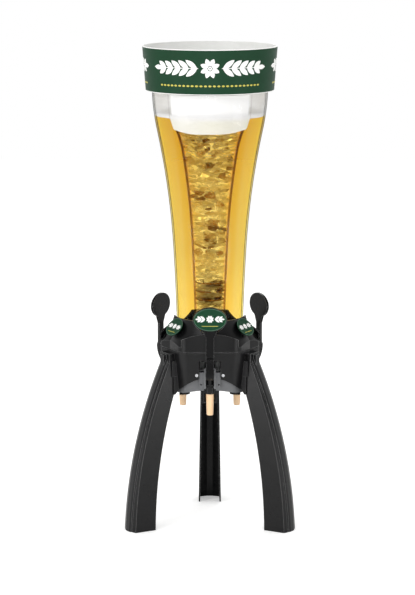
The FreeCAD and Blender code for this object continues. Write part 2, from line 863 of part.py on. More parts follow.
def taper_slab(inset):
    """The upright wedge between a leg's two sides."""
    low = leg_width(-beyond) / 2 - inset
    high = leg_width(leg_top + beyond) / 2 - inset
    points = [Vector(-low, 0, -beyond), Vector(low, 0, -beyond), Vector(high, 0, leg_top + beyond),
              Vector(-high, 0, leg_top + beyond)]
    return Part.Face(polygon(points)).extrude(Vector(0, footprint_width, 0))


def leg_section(inset):
    """Outline (x, height over the corner) of the crowned outer face, moved in by inset."""
    half = leg_foot_width / 2
    slope = atan2(leg_crest_height, half - leg_crest_width / 2)
    crest = leg_crest_width / 2 - inset * tan(slope / 2)
    edge = -inset / cos(slope)
    return [(-half, edge), (-crest, leg_crest_height - inset), (crest, leg_crest_height - inset),
            (half, edge)]


def swung(face):
    """A face at the foot swung up about the bend centre of the leg's outside."""
    centre = bend_centre(leg_outer_bend, leg_outer_lean, foot_radius)
    return face.revolve(centre, Vector(1, 0, 0), leg_bend_turn)


def leg_sweep(inset):
    """The crowned bar that a leg is cut from."""
    centre = bend_centre(leg_outer_bend, leg_outer_lean, foot_radius)
    outline = leg_section(inset)
    face_y = centre.y + leg_outer_bend
    points = [Vector(x, face_y + rise, centre.z) for x, rise in outline]
    for x in (outline[-1][0], outline[0][0]):
        points.append(Vector(x, face_y - leg_channel_depth, centre.z))
    return swung(Part.Face(polygon(points)))


def leg_flute(side):
    """A round groove along one slope of the crowned face."""
    centre = bend_centre(leg_outer_bend, leg_outer_lean, foot_radius)
    slope_width = leg_foot_width / 2 - leg_crest_width / 2
    rise = leg_crest_height * (1 - leg_flute_offset / slope_width)
    start = Vector(side * (leg_crest_width / 2 + leg_flute_offset),
                   centre.y + leg_outer_bend + rise, centre.z)
    return swung(Part.Face(Part.Wire(Part.Circle(start, up, leg_flute_radius).toShape())))


def leg():
    """A channel with a crowned, fluted outer wall, an upright root and an open inner side."""
    half = leg_foot_width
    inside = tap_radius
    outside = footprint_width
    root_low = leg_top - leg_channel_depth
    outer = leg_sweep(0).cut(leg_flute(-1)).cut(leg_flute(1))
    root = block(-half, half, inside, leg_root_radius, root_low, leg_top)
    crest = block(-leg_crest_width / 2, leg_crest_width / 2, inside,
                  leg_root_radius + leg_crest_height, root_low, leg_top - leg_crest_drop)
    blank = outer.fuse(root).fuse(crest)
    blank = blank.common(block(-half, half, inside, outside, 0, leg_top))
    blank = blank.common(taper_slab(0))
    void = leg_sweep(leg_wall).common(block(-half, half, inside - beyond, outside, -beyond,
                                            leg_top - leg_wall))
    void = void.fuse(block(-half, half, inside - beyond, leg_root_radius - leg_wall, root_low,
                           leg_top - leg_wall))
    blank = blank.cut(void.common(taper_slab(leg_wall)))
    hollow = bend_centre(leg_inner_bend, leg_inner_lean, foot_radius - leg_foot_depth)
    blank = blank.cut(rod(leg_inner_bend, hollow - Vector(half, 0, 0), Vector(1, 0, 0), 2 * half))
    blank = blank.cut(pot_solid(0, housing_bottom - beyond, seam_height + beyond))
    for height in leg_screw_heights:
        blank = blank.cut(rod(leg_screw_radius, Vector(0, 0, height), Vector(0, 1, 0),
                              leg_root_radius - leg_screw_cover))
    return max(blank.Solids, key=lambda solid: solid.Volume)


# ---------------------------------------------------------------- manifold and tank
def valve_manifold():
    inset = housing_wall + manifold_gap
    plate = pot_solid(inset, plate_bottom, seam_height)
    cup_base = plate_bottom - cup_depth
    cup = rod(cup_radius, Vector(0, 0, cup_base), up, cup_depth)
    body = plate.fuse(cup)
    for name, angle in tap_names:
        nipple = rod(nipple_radius, Vector(0, -outlet_radius, cup_base - nipple_length), up,
                     nipple_length)
        body = body.fuse(around(nipple, angle))
    body = body.cut(rod(neck_radius + fit_gap, Vector(0, 0, cup_base + cup_floor), up,
                        seam_height - cup_base))
    for name, angle in tap_names:
        bore = rod(nipple_bore, Vector(0, -outlet_radius, cup_base - nipple_length), up,
                   nipple_length + cup_floor)
        body = body.cut(around(bore, angle))
    return body.removeSplitter()


def tank():
    lip_bottom = tank_rim_height - tank_rim_depth
    outer = flared_solid(tank_start, tank_bottom, tank_arcs, 0, tank_rim_height)
    lip = rod(rim_radius + tank_rim_lip, Vector(0, 0, lip_bottom), up, tank_rim_depth)
    neck = rod(neck_radius, Vector(0, 0, tank_bottom - neck_length), up, neck_length)
    body = outer.fuse(lip).fuse(neck)
    hollow = flared_solid(tank_start, tank_bottom, tank_arcs, tank_wall,
                           tank_rim_height)
    hollow = hollow.cut(rod(rim_radius, Vector(0, 0, tank_bottom), up, tank_floor))
    drain = rod(neck_bore, Vector(0, 0, tank_bottom - neck_length), up, neck_length + tank_floor)
    return body.cut(hollow).cut(drain).cut(neck_ring(neck_radius)).removeSplitter()


def neck_ring(outer):
    """The square ring that the neck's groove and its seal share, out to a radius."""
    middle = tank_bottom - neck_length / 2
    half = seal_section / 2
    floor = seal_outer - seal_section
    return revolved([(floor, middle - half), (outer, middle - half), (outer, middle + half),
                     (floor, middle + half)])


def neck_seal():
    return neck_ring(seal_outer)


def ice_core():
    top = tank_rim_height
    flange_top = top + core_flange
    outer = flared_solid(core_start, core_bottom, core_arcs, 0, top)
    flange = rod(rim_radius, Vector(0, 0, top), up, core_flange)
    hollow = flared_solid(core_start, core_bottom, core_arcs, core_wall, flange_top)
    hollow = hollow.cut(rod(rim_radius, Vector(0, 0, core_bottom), up, core_wall))
    return outer.fuse(flange).cut(hollow).removeSplitter()


def lid():
    base = tank_rim_height + core_flange
    radius = rim_radius - lid_margin
    plug = core_rim_radius - core_wall - fit_gap
    top = base + lid_thickness
    knob_top = top + lid_knob_height
    profile = [(0, base), (plug - lid_rim, base), (plug - lid_rim, base - lid_plug),
               (plug, base - lid_plug), (plug, base), (radius, base), (radius, top - lid_edge),
               (radius - lid_edge, top), (lid_knob_foot, top),
               (lid_knob_waist, top + lid_knob_waist_height),
               (lid_knob_radius, knob_top - lid_knob_bevel),
               (lid_knob_radius - lid_edge, knob_top), (0, knob_top)]
    return revolved(profile)


def crown_band(inset, wall, low, high):
    """A flared ring between two heights of the crown, inset from its outside."""
    lean = crown_flare / crown_height
    low_radius = crown_bottom_radius + lean * (low - crown_bottom) - inset
    high_radius = crown_bottom_radius + lean * (high - crown_bottom) - inset
    return revolved([(low_radius - wall, low), (low_radius, low), (high_radius, high),
                     (high_radius - wall, high)])


def crown_ring():
    """The white ring, with a bead round each edge that the sleeve lies between."""
    ring = crown_band(0, crown_wall + sleeve_wall, crown_bottom, overall_height)
    ring = ring.cut(crown_band(0, sleeve_wall, crown_bottom + crown_bead,
                               overall_height - crown_bead))
    lip_radius = rim_radius + tank_rim_lip
    outer = crown_bottom_radius - sleeve_wall - crown_wall / 2
    shelf = rod(outer, Vector(0, 0, tank_rim_height), up, crown_shelf)
    shelf = shelf.cut(rod(rim_radius + shelf_gap, Vector(0, 0, tank_rim_height), up, crown_shelf))
    skirt = rod(outer, Vector(0, 0, tank_rim_height - tank_rim_depth), up, tank_rim_depth)
    skirt = skirt.cut(rod(lip_radius, Vector(0, 0, tank_rim_height - tank_rim_depth), up,
                          tank_rim_depth))
    return ring.fuse(shelf).fuse(skirt).removeSplitter()


def crown_sleeve():
    return crown_band(0, sleeve_wall, crown_bottom + crown_bead, overall_height - crown_bead)


# ---------------------------------------------------------------- fasteners
def screw(head, radius, length, head_height):
    """A screw along +Z, its head's underside at the origin."""
    body = rod(radius, Vector(0, 0, -length), up, length)
    return body.fuse(rod(head, Vector(0, 0, 0), up, head_height)).removeSplitter()


def bay_screws():
    screws = []
    for name, angle in tap_names:
        for side in (-1, 1):
            one = screw(screw_head_radius, screw_radius, bay_screw_length, screw_head_height)
            one.rotate(Vector(0, 0, 0), Vector(1, 0, 0), 90)
            one.translate(Vector(side * bay_screw_spread / 2, -bay_screw_face(), bay_screw_height))
            screws.append(around(one, angle))
    return Part.Compound(screws)


def leg_screws():
    screws = []
    for name, angle in leg_names:
        for height in leg_screw_heights:
            seat = housing_faces(height)[1] - housing_wall - leg_screw_washer
            one = screw(leg_screw_head, leg_screw_radius, leg_root_radius - leg_screw_cover - seat,
                        leg_screw_head_height)
            one.rotate(Vector(0, 0, 0), Vector(1, 0, 0), 90)
            one.translate(Vector(0, seat, height))
            screws.append(around(one, angle))
    return Part.Compound(screws)


# ---------------------------------------------------------------- the set of parts
def all_parts():
    parts = {
        "base_housing": base_housing(),
        "base_cover": base_cover(),
        "chassis": chassis(),
        "valve_manifold": valve_manifold(),
        "tank": tank(),
        "neck_seal": neck_seal(),
        "ice_core": ice_core(),
        "lid": lid(),
        "crown_ring": crown_ring(),
        "crown_sleeve": crown_sleeve(),
        "bay_screws": bay_screws(),
        "leg_screws": leg_screws(),
    }
    for name, angle in leg_names:
        parts["leg_" + name] = around(leg(), angle)
        parts["lobe_badge_" + name] = around(lobe_badge(), angle)
    tap_pieces = (("tap_body", tap_body), ("tap_nut", tap_nut), ("tap_cap", tap_cap),
                  ("tap_spout", tap_spout), ("plunger", plunger), ("plunger_seal", plunger_seal),
                  ("plunger_spring", plunger_spring), ("feed_hose", feed_hose),
                  ("tap_lever", tap_lever), ("lever_pin", lever_pin),
                  ("paddle_badge", paddle_badge))
    for piece, make in tap_pieces:
        shape = make()
        for name, angle in tap_names:
            parts[piece + "_" + name] = around(shape, angle)
    return parts


os.makedirs("parts", exist_ok=True)
for node, shape in all_parts().items():
    shape.exportStep("parts/" + node + ".step")
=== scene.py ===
"""Looks of a tabletop beer tower: drink, foam, ice, springs, printed trim and materials.

Shapes are built in mm and scaled as they become objects.
"""
import math
import random

import bmesh
import bpy
from mathutils import Matrix, Vector, noise


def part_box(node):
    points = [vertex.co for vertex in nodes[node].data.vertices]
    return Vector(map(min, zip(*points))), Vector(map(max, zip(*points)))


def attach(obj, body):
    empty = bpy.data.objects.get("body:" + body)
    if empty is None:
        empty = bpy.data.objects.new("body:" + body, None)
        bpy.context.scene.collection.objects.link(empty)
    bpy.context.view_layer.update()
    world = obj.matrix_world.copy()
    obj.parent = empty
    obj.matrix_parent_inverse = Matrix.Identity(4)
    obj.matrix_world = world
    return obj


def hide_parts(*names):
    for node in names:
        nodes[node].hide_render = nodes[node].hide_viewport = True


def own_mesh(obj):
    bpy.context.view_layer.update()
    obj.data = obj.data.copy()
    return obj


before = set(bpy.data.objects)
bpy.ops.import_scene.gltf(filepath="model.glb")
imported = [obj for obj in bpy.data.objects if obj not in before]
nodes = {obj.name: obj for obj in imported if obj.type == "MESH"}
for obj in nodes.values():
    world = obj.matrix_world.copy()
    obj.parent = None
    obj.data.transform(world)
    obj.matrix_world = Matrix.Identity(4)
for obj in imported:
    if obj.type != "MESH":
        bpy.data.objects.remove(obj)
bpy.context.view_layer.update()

MM = 0.001
WHITE = (1, 1, 1, 1)

# directions in degrees: a tap and its plate look to -Y, the others follow at each turn
FRONT = 270.0
TURN = 120.0
TAPS = (("front", 0.0), ("right", TURN), ("left", 2 * TURN))
LEG_TURNS = (0.0, TURN, 2 * TURN)


def box_mm(name):
    """Lowest and highest corner of a CAD node, in mm."""
    return [Vector(corner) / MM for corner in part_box(name)]


# meridians of the tank and the ice tube: (radius, lean) at the foot, height of the foot, then
# (height, lean) at the end of each arc; leans in degrees
NECK_LENGTH = 18.0
TANK_SEAT = box_mm("tank")[0].z + NECK_LENGTH
TANK_RIM = box_mm("tank")[1].z
TUBE_FOOT = box_mm("ice_core")[0].z
TANK = ((60.8, 1.1), TANK_SEAT,
        ((TANK_SEAT + 185.0, 3.3), (TANK_RIM - 88.0, 12.2), (TANK_RIM, 0.0)))
TUBE = ((28.0, 1.5), TUBE_FOOT,
        ((TUBE_FOOT + 162.0, 3.0), (TANK_RIM - 130.0, 9.5), (TANK_RIM - 83.0, 24.0),
         (TANK_RIM - 62.0, 0.0)))
TANK_WALL = 2.5
TANK_FLOOR = 4.0
TUBE_WALL = 2.0
SKIN_GAP = 0.15        # between the contents and the wall they touch

BEER_LEVEL = TANK_RIM - 61.0
BEER_STEP = 12.0
BEER_SEGMENTS = 120

FOAM_TOP = TANK_RIM - 17.0
FOAM_LEVEL_STEP = 4.0
FOAM_DIP = 27.0        # how far the foam hangs below the level at the front and back
FOAM_BELLY = 7.0       # how much of that dip comes gradually and rounds the lower edge
FOAM_STEP = (0.68, 0.735)   # frontness over which the thin film turns into the thick one
FOAM_EDGE_GAP = 0.4
FOAM_SEGMENTS = 288

ICE_SEED = 41
ICE_TOP = TANK_RIM - 72.0
ICE_STEP = 10.0        # between layers
ICE_RINGS = (8.5, 25.0)     # how far inside the wall each ring of lumps lies
ICE_SPACING = 22.0     # along a ring
ICE_FLOOR_GAP = 0.6
ICE_WALL_GAP = 0.4
LUMP_CORNERS = 11
LUMP_REACH = (6, 15)
LUMP_THICKNESS = (2.5, 7.5)
SHELVES = 6            # thin plates of melted-together ice near the foot of the tube
SHELF_START = 36
SHELF_STEP = 8
SHELF_WALL_GAP = 0.6
SHELF_SEGMENTS = 48
SHELF_TONES = (0.72, 0.02)  # even and odd ones

SPRING_WIRE = 1.0
SPRING_TURNS = 4
SPRING_STATIONS = 20   # per turn
WIRE_SIDES = 8

PRINT_HIGH = 0.14      # a print's face, over the surface that carries it
PRINT_LOW = -0.05      # its back, sunk into that surface
SLEEVE_LEAN = 6.2 / 81.7    # the sleeve's radius grows by this much per height
PLATE_HALF_THICKNESS = 0.6
LOBE_SLOPE = 52.0
LOBE_HALF_HEIGHT = 18.5

# materials
CROWN_RADIUS = 240.0   # of the slight crown that shades the flat faces of the base
CLOUD_MM = 22.0
GRAIN_MM = 0.5

# stage, in metres
FLOOR_REACH = 6
FLOOR_GLOW = 0.36      # added to the floor for the eye alone, so that it reads as white
SURROUNDINGS = 0.72    # strength of the world as a light
SENSOR_MM = 36.0
LENS_MM = 147.64
CAMERA_PLACE = (-0.0045, -4.5, 1.2)
CAMERA_TILT = 0.1702   # radians below the horizontal
CLEAR_LAYERS = 48      # see-through surfaces that one ray may cross
# name, place, aim, size, watts
LAMPS = (
    ("key", (-1.5, -1.9, 2.0), (0, 0, 0.5), (1.4, 1.4), 20),
    ("side_right", (1.5, -0.95, 0.2), (0, 0, 0.12), (0.7, 0.34), 5),
    ("side_left", (-1.5, -0.95, 0.2), (0, 0, 0.12), (0.7, 0.34), 5),
    ("back", (0.6, 2.2, 1.8), (0, 0, 0.5), (1.6, 1.2), 16),
    ("front", (0.0, -1.7, 0.5), (0, 0, 0.3), (0.8, 0.4), 5),
)


# ---------------------------------------------------------------- shapes
def radius_at(meridian, height):
    """Outer radius of a meridian of tangent arcs at a height."""
    (radius, lean), bottom, arcs = meridian
    for end_height, end_lean in arcs:
        low, high = math.sin(math.radians(lean)), math.sin(math.radians(end_lean))
        bend = (end_height - bottom) / (high - low)
        if height <= end_height:
            here = math.asin(low + (height - bottom) / bend)
            return radius + bend * (math.cos(math.radians(lean)) - math.cos(here))
        radius += bend * (math.cos(math.radians(lean)) - math.cos(math.radians(end_lean)))
        bottom, lean = end_height, end_lean
    return radius


def inside_tank(height):
    """Radius of contents that fill the tank."""
    return radius_at(TANK, height) - TANK_WALL - SKIN_GAP


def around_tube(height):
    """Radius of the hollow that contents of the tank leave for the ice tube."""
    return radius_at(TUBE, height) + SKIN_GAP


def levels(low, high, step):
    """Even heights from low to high, about a step apart."""
    count = max(1, round((high - low) / step))
    return [low + (high - low) * i / count for i in range(count + 1)]


def ease(value, low, high):
    """0 at low, 1 at high, smooth between them."""
    share = min(1.0, max(0.0, (value - low) / (high - low)))
    return share * share * (3 - 2 * share)


def piece(name, source, body, material, smooth=None):
    """Turns a bmesh in mm into an object that rides a body; smooth is the sharpest angle, in
    degrees, that is still shaded smooth."""
    bmesh.ops.scale(source, vec=(MM, MM, MM), verts=source.verts)
    bmesh.ops.recalc_face_normals(source, faces=source.faces)
    mesh = bpy.data.meshes.new(name)
    source.to_mesh(mesh)
    source.free()
    obj = bpy.data.objects.new(name, mesh)
    bpy.context.scene.collection.objects.link(obj)
    mesh.materials.append(material)
    if smooth:
        mesh.shade_smooth()
        mesh.set_sharp_from_angle(angle=math.radians(smooth))
    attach(obj, body)
    return obj


def lathe(bm, profile, segments, wobble=None):
    """Revolves a closed (radius, height) profile about Z; wobble moves each point."""
    rings = []
    for radius, height in profile:
        if radius == 0:
            rings.append([bm.verts.new((0, 0, height))])
            continue
        ring = []
        for i in range(segments):
            angle = 2 * math.pi * i / segments
            r, z = wobble(radius, height, angle) if wobble else (radius, height)
            ring.append(bm.verts.new((r * math.cos(angle), r * math.sin(angle), z)))
        rings.append(ring)
    for low, high in zip(rings, rings[1:] + rings[:1]):
        if len(low) == 1 and len(high) == 1:
            continue
        for i in range(segments):
            j = (i + 1) % segments
            corners = [low[i % len(low)], low[j % len(low)],
                       high[j % len(high)], high[i % len(high)]]
            unique = []
            for corner in corners:
                if corner not in unique:
                    unique.append(corner)
            bm.faces.new(unique)


# ---------------------------------------------------------------- materials
def linear(colour):
    """sRGB 0..255 to linear RGBA."""
    values = []
    for part in colour:
        part /= 255
        values.append(part / 12.92 if part <= 0.04045 else ((part + 0.055) / 1.055) ** 2.4)
    return (*values, 1.0)


class Nodes:
    """Adds nodes to a tree, fed with plain values or with other nodes' sockets."""

    def __init__(self, tree):
        self.tree = tree
        tree.nodes.clear()

    def node(self, kind, inputs=None, **settings):
        made = self.tree.nodes.new(kind)
        for key, value in settings.items():
            setattr(made, key, value)
        for key, value in (inputs or {}).items():
            if isinstance(value, bpy.types.NodeSocket):
                self.tree.links.new(value, made.inputs[key])
            else:
                made.inputs[key].default_value = value
        return made

    def height_of(self, vector):
        return self.node("ShaderNodeSeparateXYZ", {"Vector": vector}).outputs["Z"]

    def math(self, operation, first, second=0.0):
        return self.node("ShaderNodeMath", {0: first, 1: second}, operation=operation).outputs[0]

    def span(self, value, low, high, start=0.3, end=0.7, smooth=False):
        """Low at start, high at end, held beyond them."""
        kind = "SMOOTHSTEP" if smooth else "LINEAR"
        return self.node("ShaderNodeMapRange", {"Value": value, "From Min": start, "From Max": end,
                                                "To Min": low, "To Max": high},
                         interpolation_type=kind).outputs["Result"]


class Graph(Nodes):
    """A material under construction; noises and heights are in the object's own frame."""

    def __init__(self, name):
        self.material = bpy.data.materials.new(name)
        self.material.use_nodes = True
        super().__init__(self.material.node_tree)
        self.output = self.node("ShaderNodeOutputMaterial")
        self.place = self.node("ShaderNodeTexCoord").outputs["Object"]

    def noise(self, size_mm, detail=3.0, roughness=0.5, stretch=(1, 1, 1)):
        spot = self.place
        if stretch != (1, 1, 1):
            spot = self.node("ShaderNodeMapping", {"Vector": spot, "Scale": stretch}).outputs[0]
        return self.node("ShaderNodeTexNoise", {
            "Vector": spot, "Scale": 1 / (size_mm * MM),
            "Detail": detail, "Roughness": roughness}).outputs["Fac"]

    def cells(self, size_mm):
        return self.node("ShaderNodeTexVoronoi",
                         {"Vector": self.place, "Scale": 1 / (size_mm * MM)}).outputs["Distance"]

    def blend(self, factor, first, second):
        return self.node("ShaderNodeMix", {"Factor": factor, 6: first, 7: second},
                         data_type="RGBA").outputs[2]

    def bump(self, height, strength, depth_mm, normal=None):
        inputs = {"Height": height, "Strength": strength, "Distance": depth_mm * MM}
        if normal is not None:
            inputs["Normal"] = normal
        return self.node("ShaderNodeBump", inputs).outputs["Normal"]

    def mix(self, share, first, second):
        return self.node("ShaderNodeMixShader",
                         {0: share, 1: first.outputs[0], 2: second.outputs[0]})

    def dot(self, first, second):
        return self.node("ShaderNodeVectorMath", {0: first, 1: second},
                         operation="DOT_PRODUCT").outputs["Value"]

    def flat_place(self):
        """The place with its height left out."""
        return self.node("ShaderNodeVectorMath", {0: self.place, 1: (1, 1, 0)},
                         operation="MULTIPLY").outputs[0]

    def true_normal(self):
        return self.node("ShaderNodeNewGeometry").outputs["Normal"]

    def height(self):
        return self.height_of(self.place)

    def facing(self):
        """0 where the surface faces the eye, 1 where it turns away."""
        return self.node("ShaderNodeLayerWeight", {"Blend": 0.5}).outputs["Facing"]

    def crown_height(self):
        """Height of a wide crown on each of the three tap sides, in metres."""
        flat = self.flat_place()
        reach = None
        for _, turn in TAPS:
            angle = math.radians(FRONT + turn)
            out = self.dot(flat, (math.cos(angle), math.sin(angle), 0))
            reach = out if reach is None else self.math("MAXIMUM", reach, out)
        across = self.math("SUBTRACT", self.math("MULTIPLY", reach, reach), self.dot(flat, flat))
        return self.math("MULTIPLY", across, 0.5 / (CROWN_RADIUS * MM))

    def edge_highlight_mask(self, soft):
        """1 along sharp edges, 0 on open faces: where the painted edge highlight goes; soft is a
        rounded-edge normal.
        """
        return self.span(self.dot(soft, self.true_normal()), 1.0, 0.0, 0.80, 0.985)

    def frontness(self):
        """1 on the front and back of the tower, 0 on its sides."""
        flat = self.flat_place()
        reach = self.node("ShaderNodeVectorMath", {0: flat}, operation="LENGTH").outputs["Value"]
        deep = self.node("ShaderNodeSeparateXYZ", {"Vector": flat}).outputs["Y"]
        return self.math("DIVIDE", self.math("ABSOLUTE", deep), reach)

    def finish(self, surface, volume=None):
        self.tree.links.new(surface.outputs[0], self.output.inputs["Surface"])
        if volume is not None:
            self.tree.links.new(volume.outputs[0], self.output.inputs["Volume"])
        return self.material


def plastic(name, colour, other, rough, depth_mm=0.012, coat=0.0, metallic=0.0,
            stretch=(1, 1, 1), specular=0.5, edge_mm=0.0, edge_highlight_tone=None, crowned=False):
    """Moulded plastic: clouded colour, uneven gloss, a fine grain, soft edges and a painted
    highlight along sharp edges.
    """
    g = Graph(name)
    cloud = g.noise(CLOUD_MM, 4.0, 0.6)
    fine = g.noise(GRAIN_MM, 2.0, 0.5, stretch)
    smear = g.noise(CLOUD_MM / 4, 5.0, 0.65, stretch)
    base = g.blend(g.span(cloud, 0.0, 1.0), linear(colour), linear(other))
    soft = None
    if edge_mm:
        soft = g.node("ShaderNodeBevel", {"Radius": edge_mm * MM}, samples=4).outputs[0]
    # painted highlight: sharp edges are lightened towards a grey tone
    if edge_highlight_tone:
        base = g.blend(g.edge_highlight_mask(soft), base, linear((edge_highlight_tone, edge_highlight_tone, edge_highlight_tone)))
    if crowned:
        soft = g.bump(g.crown_height(), 1.0, 1000.0, soft)
    shader = g.node("ShaderNodeBsdfPrincipled", {
        "Base Color": base,
        "Roughness": g.span(smear, rough[0], rough[1]),
        "Metallic": metallic,
        "Specular IOR Level": specular,
        "Coat Weight": coat,
        "Coat Roughness": 0.05,
        "Normal": g.bump(fine, 0.5, depth_mm, g.bump(cloud, 0.3, 4 * depth_mm, soft)),
    })
    return g.finish(shader)


def glossy(g, rough, normal):
    return g.node("ShaderNodeBsdfGlossy", {"Color": WHITE, "Roughness": rough, "Normal": normal})


def see_through(g, colour):
    return g.node("ShaderNodeBsdfTransparent", {"Color": colour})


def fresnel(g, index, normal):
    return g.node("ShaderNodeFresnel", {"IOR": index, "Normal": normal}).outputs[0]


def sheen_share(g, index, share, most, normal):
    """How much of a clear surface is mirror, by its slant."""
    return g.math("MINIMUM", g.math("MULTIPLY", fresnel(g, index, normal), share), most)


def clear(name, rim, wet, wet_rim, edge):
    """Clear plastic: see-through face on, a fine dark line where it turns away. Where drink
    stands behind the wall, the slanting wall takes the drink's colour."""
    g = Graph(name)
    facing = g.facing()
    turned = g.span(facing, 0.0, 1.0, *edge, True)
    dry = g.blend(turned, WHITE, linear(rim))
    soaked = g.blend(g.span(facing, 0.0, 1.0, 0.2, 0.82, True), WHITE, linear(wet))
    soaked = g.blend(turned, soaked, linear(wet_rim))
    under = g.span(g.height(), 1.0, 0.0, (BEER_LEVEL - 2) * MM, (BEER_LEVEL - 1) * MM)
    through = see_through(g, g.blend(under, dry, soaked))
    normal = g.bump(g.noise(14.0, 3.0, 0.5, (1, 1, 0.35)), 0.25, 0.05)
    rough = g.span(g.noise(30.0, 4.0, 0.6), 0.03, 0.09)
    return g.finish(g.mix(sheen_share(g, 1.3, 0.14, 0.05, normal), through,
                          glossy(g, rough, normal)))


def drink():
    """Lager: its colour comes from the depth of liquid that light crosses, and where its
    surface turns away the wall bends the view through more of it."""
    g = Graph("lager")
    normal = g.bump(g.noise(9.0, 2.0, 0.5), 0.1, 0.05)
    tint = g.blend(g.span(g.facing(), 0.0, 1.0, 0.36, 0.7, True), WHITE, (0.972, 0.921, 1.0, 1))
    through = see_through(g, tint)
    rough = g.span(g.noise(20.0), 0.05, 0.12)
    absorb = g.node("ShaderNodeVolumeAbsorption",
                    {"Color": (0.908, 0.735, 0.0, 1), "Density": 27.9})
    return g.finish(g.mix(sheen_share(g, 1.1, 0.1, 0.02, normal), through,
                          glossy(g, rough, normal)), absorb)


def froth():
    """Foam: dense at the drink, a thin streaked film above it, thickest front and back; painted
    shade greys the film on the sides and draws a darker line where the thin film turns into the
    thick one.
    """
    g = Graph("foam")
    patches = g.noise(16.0, 4.0, 0.6, (1, 1, 2.6))
    rings = g.noise(7.0, 2.0, 0.5, (0.06, 0.06, 1.4))
    front = g.frontness()
    thick = g.span(front, 0.0, 1.0, *FOAM_STEP)
    dense = g.span(g.height(), 1.0, 0.0, (BEER_LEVEL + 2) * MM, (BEER_LEVEL + 16) * MM, True)
    head = g.blend(g.span(patches, 0.0, 1.0), linear((232, 232, 234)), linear((224, 224, 225)))
    streaks = g.blend(g.span(rings, 0.0, 1.0), linear((255, 255, 255)), linear((246, 246, 246)))
    # painted shade: the thin film is greyer on the sides of the tower than at the front and back
    streaks = g.blend(thick, linear((232, 230, 226)), streaks)
    tone = g.blend(dense, streaks, head)
    # painted shade: a darker line where the thin film turns into the thick one
    painted_line_distance = g.math("ABSOLUTE", g.math("SUBTRACT", front, FOAM_STEP[0]))
    tone = g.blend(g.span(painted_line_distance, 0.8, 0.0, 0.004, 0.016), tone, linear((196, 191, 189)))
    shader = g.node("ShaderNodeBsdfPrincipled", {
        "Base Color": tone,
        "Roughness": g.span(patches, 0.35, 0.6),
        "Normal": g.bump(g.cells(2.2), 0.4, 0.25, g.bump(g.cells(0.9), 0.3, 0.1)),
    })
    glow = g.node("ShaderNodeBsdfTranslucent", {"Color": tone})
    body = g.mix(0.12, shader, glow)
    film = g.math("MAXIMUM", g.span(g.facing(), 0.25, 0.7, 0.0, 0.7),
                  g.math("MULTIPLY", thick, 0.92))
    film = g.math("ADD", film, g.span(rings, -0.03, 0.05))
    return g.finish(g.mix(g.math("MAXIMUM", film, dense), see_through(g, WHITE), body))


def crushed():
    """Crushed ice: clear golden lumps, white veins and a few dull ones, with upward-facing facets
    turned frosted white as a painted highlight.
    Each lump carries its own tone, 0 for dull to 1 for cloudy."""
    g = Graph("ice")
    tone = g.node("ShaderNodeAttribute", attribute_name="tone").outputs["Fac"]
    crack = g.noise(7.0, 5.0, 0.7, (1, 1, 2.2))
    mixed = g.math("ADD", tone, g.span(crack, -0.16, 0.16))
    ramp = g.node("ShaderNodeValToRGB", {"Fac": mixed})
    stops = ((0.0, (128, 80, 30)), (0.12, (196, 146, 80)), (0.26, (250, 232, 190)),
             (0.6, (255, 251, 238)), (1.0, (255, 255, 252)))
    elements = ramp.color_ramp.elements
    while len(elements) < len(stops):
        elements.new(0.5)
    for element, (position, colour) in zip(elements, stops):
        element.position = position
        element.color = linear(colour)
    normal = g.bump(crack, 0.5, 0.7)
    shader = g.node("ShaderNodeBsdfPrincipled", {
        "Base Color": ramp.outputs["Color"],
        "Roughness": g.span(crack, 0.05, 0.3),
        "Specular IOR Level": 0.9,
        "Coat Weight": 1.0,
        "Coat Roughness": 0.06,
        "Normal": normal,
    })
    glow = g.node("ShaderNodeBsdfTranslucent", {"Color": ramp.outputs["Color"]})
    frosted = g.mix(0.35, shader, glow)

    light = g.blend(g.span(crack, 0.0, 1.0), WHITE, (0.995, 0.98, 0.95, 1))
    turned = g.span(g.facing(), 0.0, 1.0, 0.82, 1.0, True)
    through = see_through(g, g.blend(turned, light, (0.84, 0.70, 0.44, 1)))
    glint = glossy(g, g.span(crack, 0.02, 0.1), normal)
    bubble = g.span(mixed, 0.0, 0.6, 0.68, 0.76, True)
    mirror = g.math("MAXIMUM", g.math("MINIMUM", fresnel(g, 1.35, normal), 0.5), bubble)
    shell = g.mix(mirror, through, glint)

    # painted highlight: facets that face upward turn frosted white
    top_highlight_share = g.span(g.height_of(g.true_normal()), 0.0, 0.85, 0.8, 0.97, True)
    cloudy = g.span(mixed, 0.02, 0.5, 0.72, 1.0, True)
    vein = g.span(g.math("ABSOLUTE", g.math("SUBTRACT", crack, 0.5)), 0.6, 0.0, 0.0, 0.02)
    dull = g.span(mixed, 0.85, 0.0, 0.06, 0.2, True)
    share = g.math("MAXIMUM", g.math("MAXIMUM", top_highlight_share, cloudy), g.math("MAXIMUM", vein, dull))
    return g.finish(g.mix(share, shell, frosted))


